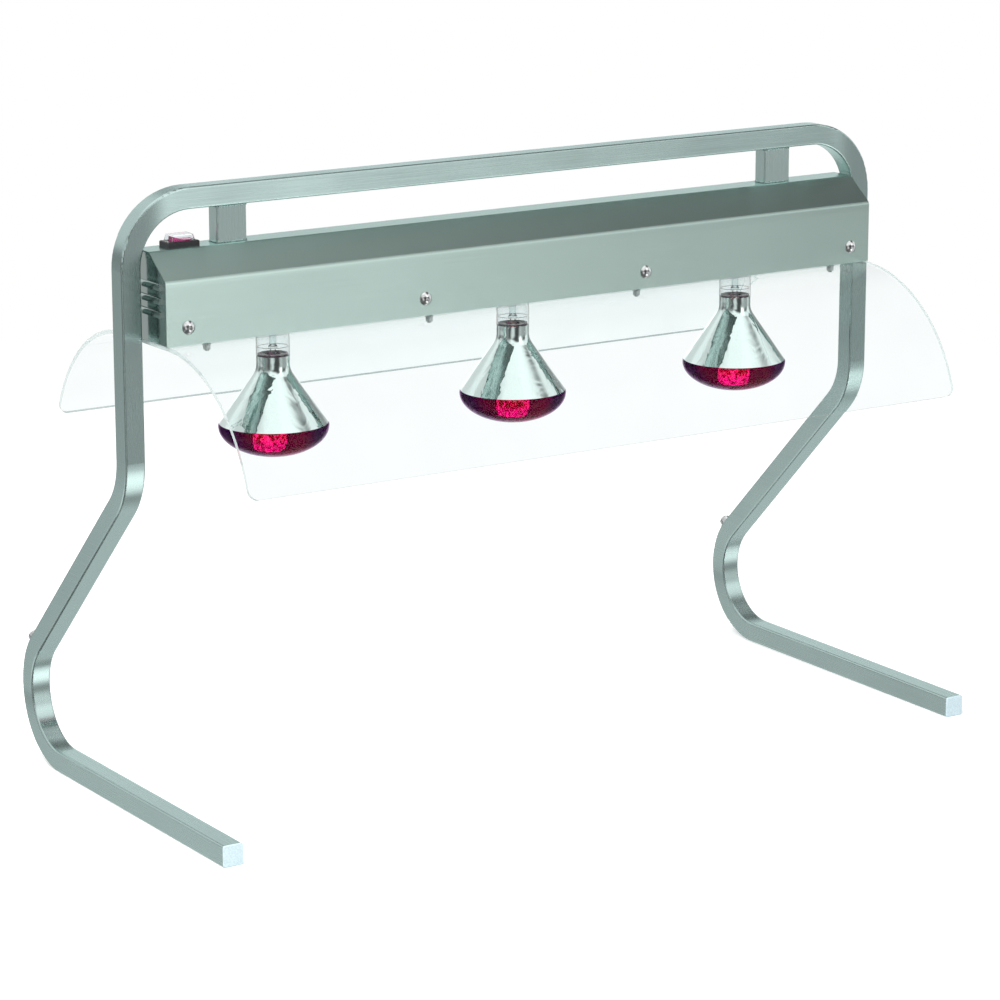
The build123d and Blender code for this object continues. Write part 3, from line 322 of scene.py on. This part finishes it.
END_EDGE = (0.62, 0.70, 0.69)
END_EDGE_COVER = 0.8
LEG_EDGE = (0.40, 0.46, 0.45)
LEG_EDGE_COVER = 1.0
LEG_EDGE_TOP = 0.47
SAWN_ROUGHNESS = 0.6


def acrylic():
    """Clear guard with a faint tint, whose sawn edges show as thin pale bands.

    The edges at its two ends face along x. Those of its two legs face down, below LEG_EDGE_TOP.
    """
    shader = clear_glass("clear_acrylic", (0.965, 1.0, 1.0), high=0.0, ior=1.14, shine=0.02, shadow=0.015)
    end = shader.math("GREATER_THAN", shader.math("ABSOLUTE", shader.facing("X")), 0.2)
    level = shader.math("GREATER_THAN", shader.math("ABSOLUTE", shader.facing("Z")), 0.8)
    leg = shader.math("MULTIPLY", level, shader.math("LESS_THAN", shader.axis("Z"), LEG_EDGE_TOP))
    edge = shader.math("MAXIMUM", end, leg)
    sawn = shader.mix_colour(leg, END_EDGE, LEG_EDGE)
    cover = shader.mix(leg, END_EDGE_COVER, LEG_EDGE_COVER)
    shader.colour(shader.mix_colour(edge, shader.tint, sawn))
    shader.roughness(shader.mix(edge, 0.0, SAWN_ROUGHNESS))
    shader.link(shader.math("SUBTRACT", 1.0, edge), shader.bsdf.inputs["Transmission Weight"])
    shader.link(shader.mix(edge, shader.cover, cover), shader.bsdf.inputs["Alpha"])
    return shader.material


def bulb_mirror():
    """Silvered glass of the reflector."""
    shader = Shader("silvered_glass", (0.80, 0.92, 0.89), 0.05, 1.0)
    ripple = shader.noise(shader.mapped((42, 42, 24)), detail=2, distortion=0.8)
    dust = shader.noise(shader.mapped((700, 700, 700)), detail=2)
    shader.colour(shader.mix_colour(shader.ramp(dust, 0.35, 0.75), (0.78, 0.90, 0.87), (0.82, 0.94, 0.91)))
    shader.roughness(shader.ramp(ripple, *SPREAD, 0.02, 0.06))
    shader.bump(ripple, 0.6, 0.0014)
    return shader.material


RUBY_DEEP = (0.27, 0.004, 0.11)
RUBY_LIGHT = (0.35, 0.008, 0.14)
RUBY_PAINTED_REFLECTION = (0.07, 0.09, 0.23)


def ruby():
    """Ruby glass of the lens, with a painted violet reflection in its colour on the side that faces right.
    """
    shader = Shader("ruby_glass_painted_reflection", (0.33, 0.025, 0.15), 0.03, 0.0, IOR=1.1, Transmission_Weight=1.0)
    swirl = shader.noise(shader.mapped((60, 60, 60)), detail=3, distortion=0.8)
    red = shader.mix_colour(shader.ramp(swirl, *SPREAD), RUBY_DEEP, RUBY_LIGHT)
    # Painted reflection: the colour turns violet where the surface faces right in the world.
    painted_reflection_side = shader.ramp(shader.facing("X"), 0.0, 0.4)
    shader.colour(shader.mix_colour(painted_reflection_side, red, RUBY_PAINTED_REFLECTION))
    shader.roughness(shader.ramp(swirl, *SPREAD, 0.01, 0.05))
    shader.bump(swirl, 0.05, 0.0004)
    return shader.material


GLOW_STRENGTH = 3.4
LOW_EMBERS = ((0.32, 0.0, 0.10), (1.0, 0.02, 0.50))
HIGH_EMBERS = ((0.20, 0.0, 0.015), (1.0, 0.0, 0.12))
HOT_LUMPS = (1.0, 0.83, 0.55)


def glow():
    """Hot lumps in the middle of a lens: magenta below, red above, with the hottest ones pale."""
    shader = Shader("lamp_glow", (0.30, 0.06, 0.08), 0.4, 0.0)
    swirl = shader.noise(shader.mapped((190, 190, 150)), detail=2, distortion=1.2)
    middle = (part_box("bulb_1_lens")[0].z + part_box("bulb_1_lens")[1].z) / 2
    height = shader.ramp(shader.axis("Z"), middle - 0.006, middle + 0.004)
    magenta = shader.mix_colour(shader.ramp(swirl, 0.42, 0.56), *LOW_EMBERS)
    red = shader.mix_colour(shader.ramp(swirl, 0.44, 0.56), *HIGH_EMBERS)
    embers = shader.mix_colour(height, magenta, red)
    lumps = shader.math("MULTIPLY", shader.ramp(swirl, 0.52, 0.60), shader.mix(height, 0.3, 1.0))
    shader.link(shader.mix_colour(lumps, embers, HOT_LUMPS), shader.bsdf.inputs["Emission Color"])
    shader.bsdf.inputs["Emission Strength"].default_value = GLOW_STRENGTH
    return shader.material


MATERIALS = {
    "cover": sheet_steel("cover_steel", ALONG_X, BRUSH_X, colour=COVER_STEEL, strength=0.012,
                         low=0.25, high=0.27, vary=0.02, swell=fold_roll),
    "end": sheet_steel("end_steel", ALONG_Z, BRUSH_Z, anisotropy=0.3, colour=(0.44, 0.50, 0.48),
                       strength=0.1, low=0.09, high=0.15),
    # Posts: the steel's colour lightened by about a third, painted light that makes them brighter.
    "post": sheet_steel("post_steel_painted_light", ALONG_Z, BRUSH_Z, colour=(0.68, 0.85, 0.82)),
    # Tray: the steel's colour lightened by about a fifth, painted light that brightens it and its image in
    # the reflectors.
    "tray": sheet_steel("tray_steel_painted_light", ALONG_X, BRUSH_X, anisotropy=0.4, colour=(0.62, 0.76, 0.73)),
    "rail": rail_steel(),
    "leg": leg_steel(),
    "weld": metal("weld_steel", (0.46, 0.58, 0.56), 0.28),
    "chrome": metal("fastener_chrome", (0.78, 0.80, 0.80), 0.12),
    "zinc": metal("fastener_zinc", (0.55, 0.57, 0.57), 0.32),
    "brass": metal("brass", (0.75, 0.60, 0.33), 0.25),
    "filament": metal("filament_wire", (0.30, 0.28, 0.28), 0.4),
    "plug": plastic("plug_plastic", (0.53, 0.66, 0.71), 0.35),
    "black": plastic("black_plastic", (0.012, 0.012, 0.014), 0.3),
    "rocker": plastic("rocker_plastic", (0.48, 0.015, 0.18), 0.25),
    "block": plastic("block_plastic", (0.80, 0.80, 0.76), 0.5),
    "ceramic": plastic("holder_ceramic", (0.86, 0.85, 0.80), 0.5, 300.0),
    "blue": plastic("blue_insulation", (0.04, 0.12, 0.50), 0.45),
    "brown": plastic("brown_insulation", (0.20, 0.09, 0.04), 0.45),
    "acrylic": acrylic(),
    "mirror": bulb_mirror(),
    "ruby": ruby(),
    "neck": clear_glass("neck_glass", (0.97, 0.99, 0.99), ior=1.5, shine=0.2).material,
    "stem": clear_glass("stem_glass", (0.72, 0.80, 0.80), ior=1.5).material,
    "boot": clear_glass("boot_plastic", (0.86, 0.90, 0.91), low=0.04, high=0.10,
                        ior=1.25, shine=0.2).material,
    "mica": plastic("mica_disc", (0.10, 0.05, 0.07), 0.35),
    "glow": glow(),
}

NODE_MATERIALS = {
    "top_rail": "rail", "left_leg": "leg", "right_leg": "leg",
    "left_foot_plug": "plug", "right_foot_plug": "plug",
    "knee_bolts": "chrome", "knee_washers": "chrome", "knee_rivet_nuts": "zinc",
    "left_hanger_post": "post", "right_hanger_post": "post",
    "hanger_plates": "zinc", "hanger_bolts": "zinc",
    "housing_cover": "cover", "left_end_panel": "end", "right_end_panel": "end", "bottom_tray": "tray",
    "cover_screws": "chrome", "cover_rivet_nuts": "zinc",
    "sneeze_guard": "acrylic", "guard_studs": "zinc", "guard_washers": "zinc", "guard_nuts": "zinc",
    "holder_contacts": "brass", "holder_rail": "zinc", "holder_screws": "zinc",
    "switch_body": "black", "switch_rocker": "rocker", "switch_boot": "boot", "switch_blades": "brass",
    "terminal_block": "block", "neutral_wire": "blue", "switched_wire": "brown", "supply_wire": "brown",
    "cable_gland": "black", "gland_nut": "black",
}
for number in (1, 2, 3):
    NODE_MATERIALS[f"bulb_{number}_lens"] = "ruby"
    NODE_MATERIALS[f"bulb_{number}_reflector"] = "mirror"
    NODE_MATERIALS[f"bulb_{number}_neck"] = "neck"
    NODE_MATERIALS[f"bulb_{number}_stem"] = "stem"
    NODE_MATERIALS[f"bulb_{number}_filament"] = "filament"
    NODE_MATERIALS[f"bulb_{number}_cap"] = "brass"
    NODE_MATERIALS[f"holder_{number}_body"] = "ceramic"
    NODE_MATERIALS[f"holder_{number}_shell"] = "brass"
for name, node in NODES.items():
    for slot in node.material_slots:
        slot.material = MATERIALS[NODE_MATERIALS[name]]


# Pieces that only the scene has

def add_piece(name, mesh, material, body):
    """Puts a mesh into the scene as a piece that rides on a body."""
    for face in mesh.polygons:
        face.use_smooth = True
    mesh.materials.append(MATERIALS[material])
    piece = bpy.data.objects.new(name, mesh)
    bpy.context.scene.collection.objects.link(piece)
    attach(piece, body)


def round_points(count):
    """Angles of a number of points spaced evenly round a circle."""
    return [math.tau * i / count for i in range(count)]


CORE_SHIFT = {1: -0.006, 2: 0.0, 3: 0.0}
CORE_RADIUS = 0.0195
CORE_CLEARANCE = 0.0035
CORE_HEIGHT_SHARE = 0.9
CORE_SQUARENESS = 0.6
CORE_LUMP = 0.10
CORE_LUMP_SCALE = 3.1


def bulb_core(number):
    """Lumpy glowing drum behind the middle of a lens, moved along x by its CORE_SHIFT."""
    low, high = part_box(f"bulb_{number}_lens")
    centre = (low + high) / 2 + Vector((CORE_SHIFT[number], 0, 0))
    half = (high.z - low.z) / 2 - CORE_CLEARANCE
    other_lumps = Vector((number * 7.0, 0, 0))
    shape = bmesh.new()
    bmesh.ops.create_icosphere(shape, subdivisions=5, radius=1.0)
    for vertex in shape.verts:
        flat = math.hypot(vertex.co.x, vertex.co.y)
        edge = max(flat, abs(vertex.co.z)) ** CORE_SQUARENESS
        lump = 1 + CORE_LUMP * noise.noise(vertex.co * CORE_LUMP_SCALE + other_lumps)
        grown = vertex.co / edge * lump
        tall = grown.z * half * CORE_HEIGHT_SHARE
        vertex.co = centre + Vector((grown.x * CORE_RADIUS, grown.y * CORE_RADIUS, tall))
    mesh = bpy.data.meshes.new(f"bulb_{number}_core")
    shape.to_mesh(mesh)
    shape.free()
    add_piece(f"bulb_{number}_core", mesh, "glow", f"bulb_{number}_glass")


def rings_mesh(name, rings):
    """Mesh through rings of points, each ring joined to the next and the last to the first."""
    count = len(rings[0])
    points = [point for ring in rings for point in ring]
    faces = []
    for i in range(len(rings)):
        near = i * count
        far = ((i + 1) % len(rings)) * count
        for j in range(count):
            k = (j + 1) % count
            faces.append((near + j, near + k, far + k, far + j))
    mesh = bpy.data.meshes.new(name)
    mesh.from_pydata(points, [], faces)
    return mesh


def turned(name, centre, profile, count=64):
    """Closed ring turned about a vertical axis: the profile is (radius, height) points."""
    turn = round_points(count)
    rings = []
    for radius, height in profile:
        rings.append([centre + Vector((radius * math.cos(a), radius * math.sin(a), height)) for a in turn])
    return rings_mesh(name, rings)


def neck_place(number, height):
    """Point on a bulb's axis at a height over the neck's lower end, and the neck's radius."""
    low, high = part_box(f"bulb_{number}_neck")
    centre = Vector(((low.x + high.x) / 2, (low.y + high.y) / 2, low.z + height))
    return centre, (high.x - low.x) / 2


DISC_HEIGHT = 0.0012
DISC_GAP = 0.0020
DISC_HOLE_R = 0.009
DISC_SHEET = 0.0004
DISC_LIP = 0.0012
DISC_LIP_WIDTH = 0.002


def bulb_disc(number):
    """Heat disc in the neck, just over the silvering, with the stem through it."""
    centre, neck_radius = neck_place(number, DISC_HEIGHT)
    outer = neck_radius - DISC_GAP
    name = f"bulb_{number}_disc"
    profile = [
        (DISC_HOLE_R, 0),
        (outer, 0),
        (outer, DISC_LIP),
        (outer - DISC_LIP_WIDTH, DISC_SHEET),
        (DISC_HOLE_R, DISC_SHEET),
    ]
    add_piece(name, turned(name, centre, profile), "mica", f"bulb_{number}_glass")


FLARE_HEIGHT = 0.0105
FLARE_GAP = 0.0022
FLARE_RIM_R = 0.0003


def bulb_flare(number):
    """Thin rolled rim of the stem's flare, seen as a fine ring in the neck."""
    centre, neck_radius = neck_place(number, FLARE_HEIGHT)
    radius = neck_radius - FLARE_GAP
    profile = [(radius + FLARE_RIM_R * math.cos(a), FLARE_RIM_R * math.sin(a)) for a in round_points(8)]
    name = f"bulb_{number}_flare"
    add_piece(name, turned(name, centre, profile), "filament", f"bulb_{number}_glass")


for number in (1, 2, 3):
    bulb_core(number)
    bulb_disc(number)
    bulb_flare(number)


WELD_CORNER = 0.002
WELD_STEP = 0.0011
WELD_RIPPLE_MEAN = 0.80
WELD_RIPPLE = 0.22
WELD_RIPPLE_TURN = 1.9
WELD_LUMP = 0.45
WELD_LUMP_SCALE = 260


def weld_bead(name, low, high, z, radius, seed):
    """Uneven weld bead round the outline of a post at one level."""
    corners = [(low.x, low.y), (high.x, low.y), (high.x, high.y), (low.x, high.y)]
    line = []
    for corner, next_corner in zip(corners, corners[1:] + corners[:1]):
        start = Vector((*corner, z))
        run = Vector((*next_corner, z)) - start
        start = start + run.normalized() * WELD_CORNER
        count = int((run.length - 2 * WELD_CORNER) / WELD_STEP)
        line += [start + run.normalized() * WELD_STEP * i for i in range(count + 1)]
    rings = []
    for i, point in enumerate(line):
        along = (line[(i + 1) % len(line)] - line[i - 1]).normalized()
        outward = along.cross(Vector((0, 0, 1)))
        ripple = WELD_RIPPLE * math.sin(i * WELD_RIPPLE_TURN)
        lump = WELD_LUMP * noise.noise(point * WELD_LUMP_SCALE + Vector((seed, 0, 0)))
        size = radius * (WELD_RIPPLE_MEAN + ripple + lump)
        ring = []
        for a in round_points(8):
            ring.append(point + outward * size * math.cos(a) + Vector((0, 0, size * math.sin(a))))
        rings.append(ring)
    add_piece(name, rings_mesh(name, rings), "weld", "lamp")


for seed, side in enumerate(("left", "right")):
    low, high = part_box(f"{side}_hanger_post")
    weld_bead(f"{side}_post_weld_top", low, high, high.z - 0.0010, 0.0011, 3.0 * seed)
    weld_bead(f"{side}_post_weld_foot", low, high, low.z + 0.0010, 0.0012, 3.0 * seed + 1.5)


# Floor

FLOOR_DROP = 0.0003
FLOOR_GLOW = 0.3
FLOOR_FADE = (1.3, 2.6)


def floor():
    """Pale counter under the lamp, white to the camera and keeping the shadow.

    It lights up only where the camera sees it, fades out with the distance from the lamp, and
    metal doesn't mirror it.
    """
    size = 3.0
    mesh = bpy.data.meshes.new("floor")
    corners = [(-size, -size, 0), (size, -size, 0), (size, size, 0), (-size, size, 0)]
    mesh.from_pydata(corners, [], [(0, 1, 2, 3)])
    plane = bpy.data.objects.new("floor", mesh)
    bpy.context.scene.collection.objects.link(plane)
    plane.location.z = -FLOOR_DROP
    shader = Shader("floor_white", (0.93, 0.935, 0.935), 0.7)
    mottle = shader.noise(shader.mapped((3, 3, 3)), detail=2)
    shader.colour(shader.mix_colour(mottle, (0.92, 0.925, 0.925), (0.94, 0.945, 0.945)))
    glow_level = shader.math("MULTIPLY", shader.in_view(), FLOOR_GLOW)
    white = shader.node("ShaderNodeEmission", Strength=glow_level)
    both = shader.tree.nodes.new("ShaderNodeAddShader")
    shader.link(shader.bsdf.outputs[0], both.inputs[0])
    shader.link(white.outputs[0], both.inputs[1])
    reach = shader.vector_math("LENGTH", shader.coords)["Value"]
    inside = shader.ramp(reach, *FLOOR_FADE, 1.0, 0.0)
    mirrored = shader.tree.nodes.new("ShaderNodeLightPath").outputs["Is Glossy Ray"]
    whole = shader.math("MULTIPLY", inside, shader.math("SUBTRACT", 1.0, mirrored))
    faded = shader.tree.nodes.new("ShaderNodeMixShader")
    shader.link(whole, faded.inputs[0])
    shader.link(shader.tree.nodes.new("ShaderNodeBsdfTransparent").outputs[0], faded.inputs[1])
    shader.link(both.outputs[0], faded.inputs[2])
    shader.link(faded.outputs[0], shader.out.inputs["Surface"])
    mesh.materials.append(shader.material)


floor()


# Light

# The studio round the lamp: a direction, how bright it is there and how sharply that ends.
# Between these, the world blends from one to the next.
STUDIO = [
    ((0.44, 0.88, 0.16), 2.2, 60),
    ((0.53, 0.83, 0.14), 1.45, 60),
    ((0.62, 0.77, 0.14), 0.85, 60),
    ((0.44, 0.85, 0.33), 0.0, 60),
    ((0.60, 0.74, 0.32), 1.0, 60),
    ((0.50, 0.80, -0.30), 1.0, 25),
    ((-0.10, 0.99, 0.10), 0.75, 25),
    ((-0.15, 0.98, -0.15), 0.0, 60),
    ((-0.30, 0.94, -0.16), 0.0, 60),
    ((-0.45, 0.87, -0.17), 0.85, 90),
    ((-0.46, 0.82, -0.34), 0.85, 60),
    ((-0.64, 0.75, -0.15), 0.1, 60),
    ((-0.62, 0.72, -0.32), 0.85, 60),
    ((-0.25, 0.92, 0.28), 0.75, 60),
    ((-0.45, 0.80, 0.40), 1.0, 60),
    ((-0.72, 0.45, 0.52), 0.7, 40),
    ((-0.75, 0.25, -0.60), 1.1, 40),
    ((-0.80, -0.10, 0.60), 0.65, 25),
    ((-0.39, -0.60, 0.70), 0.6, 400),
    ((-0.33, -0.50, 0.80), 1.1, 20),
    ((0.20, -0.60, 0.77), 1.2, 40),
    ((0.40, -0.62, 0.67), 0.9, 60),
    ((0.00, 0.10, 1.00), 1.2, 20),
    ((0.43, 0.00, 0.90), 1.25, 90),
    ((0.49, 0.00, 0.87), 0.0, 90),
    ((0.56, 0.00, 0.83), 0.0, 90),
    ((0.64, 0.00, 0.77), 0.2, 90),
    ((0.56, -0.30, 0.77), 0.0, 60),
    ((0.53, 0.50, 0.69), 0.1, 40),
    ((0.88, -0.25, 0.40), 1.0, 40),
    ((0.96, 0.00, 0.29), 0.8, 60),
    ((0.92, 0.38, 0.10), 0.3, 40),
    ((0.43, -0.72, 0.54), 2.1, 60),
    ((0.53, -0.67, 0.52), 0.9, 60),
    ((0.63, -0.61, 0.48), 1.0, 60),
    ((0.42, -0.90, 0.10), 3.0, 60),
    ((0.53, -0.84, 0.10), 0.3, 60),
    ((0.64, -0.76, 0.10), 0.0, 60),
    ((0.42, -0.88, -0.20), 0.4, 60),
    ((0.53, -0.82, -0.22), 0.25, 60),
    ((0.64, -0.74, -0.20), 0.4, 60),
    ((0.42, -0.75, -0.50), 3.0, 60),
    ((0.53, -0.70, -0.48), 1.7, 60),
    ((0.64, -0.62, -0.45), 0.3, 60),
    ((0.00, -1.00, 0.00), 0.06, 20),
    ((-0.54, -0.82, -0.20), 0.8, 60),
    ((-0.80, -0.55, -0.22), 0.05, 60),
    ((-0.95, -0.20, -0.20), 0.25, 20),
    ((0.81, 0.05, -0.59), 0.6, 40),
    ((0.17, 0.28, -0.94), 0.0, 60),
    ((-0.43, 0.50, -0.75), 0.0, 60),
    ((-0.28, -0.45, -0.84), 0.15, 20),
    ((0.44, 0.25, -0.86), 1.0, 40),
    ((0.60, 0.20, -0.78), 0.6, 40),
]


WHITE = 1.0
NO_ZERO = 1e-6


def world():
    """Studio light by direction, with a white background to the camera."""
    scene_world = bpy.data.worlds.new("studio")
    bpy.context.scene.world = scene_world
    scene_world.use_nodes = True
    nodes = NodeTree(scene_world.node_tree)
    out = nodes.tree.nodes.new("ShaderNodeOutputWorld")
    direction = nodes.tree.nodes.new("ShaderNodeTexCoord").outputs["Generated"]
    weights = 0.0
    light = 0.0
    for toward, brightness, sharpness in STUDIO:
        dot = nodes.vector_math("DOT_PRODUCT", direction, Vector(toward).normalized())["Value"]
        away = nodes.math("MULTIPLY", nodes.math("SUBTRACT", dot, 1.0), sharpness)
        weight = nodes.math("POWER", math.e, away)
        weights = nodes.math("ADD", weights, weight)
        light = nodes.math("ADD", light, nodes.math("MULTIPLY", weight, brightness))
    level = nodes.math("DIVIDE", light, nodes.math("ADD", weights, NO_ZERO))
    shown = nodes.mix(nodes.in_view(), level, WHITE)
    background = nodes.node("ShaderNodeBackground", Color=shown, Strength=1.0)
    nodes.link(background.outputs[0], out.inputs["Surface"])


def softbox(name, place, aim, width, height, power):
    """Soft area light that metal doesn't mirror: the world holds what metal shows."""
    light = bpy.data.lights.new(name, "AREA")
    light.shape = "RECTANGLE"
    light.size = width
    light.size_y = height
    light.energy = power
    lamp = bpy.data.objects.new(name, light)
    bpy.context.scene.collection.objects.link(lamp)
    lamp.location = place
    lamp.rotation_euler = (Vector(aim) - Vector(place)).to_track_quat("-Z", "Y").to_euler()
    lamp.visible_glossy = False
    lamp.visible_transmission = False


world()
softbox("key", (-1.6, -0.9, 2.9), (-0.1, 0.0, 0.4), 2.4, 2.0, 90)


# Camera, fitted to the photograph's straight edges

CAMERA_YAW = 32.936
CAMERA_PITCH = -13.935
CAMERA_ROLL = -0.057
CAMERA_PLACE = (-2.3988, -3.6758 + LAMP_Y, 1.3882)
CAMERA_LENS = 135.9


def camera():
    """Camera from its angles in degrees, its place in metres and its lens in millimetres."""
    yaw = math.radians(CAMERA_YAW)
    pitch = math.radians(CAMERA_PITCH)
    roll = math.radians(CAMERA_ROLL)
    forward = Vector((math.sin(yaw) * math.cos(pitch), math.cos(yaw) * math.cos(pitch), math.sin(pitch)))
    right = Vector((math.cos(yaw), -math.sin(yaw), 0))
    up = right.cross(forward)
    tilt = Matrix.Rotation(-roll, 3, forward)
    right = tilt @ right
    up = tilt @ up
    data = bpy.data.cameras.new("camera")
    data.sensor_width = 36.0
    data.lens = CAMERA_LENS
    data.clip_end = 100.0
    eye = bpy.data.objects.new("camera", data)
    bpy.context.scene.collection.objects.link(eye)
    rows = [(right[i], up[i], -forward[i], CAMERA_PLACE[i]) for i in range(3)]
    eye.matrix_world = Matrix((*rows, (0, 0, 0, 1)))
    bpy.context.scene.camera = eye


camera()
bpy.context.scene.view_settings.view_transform = "Standard"
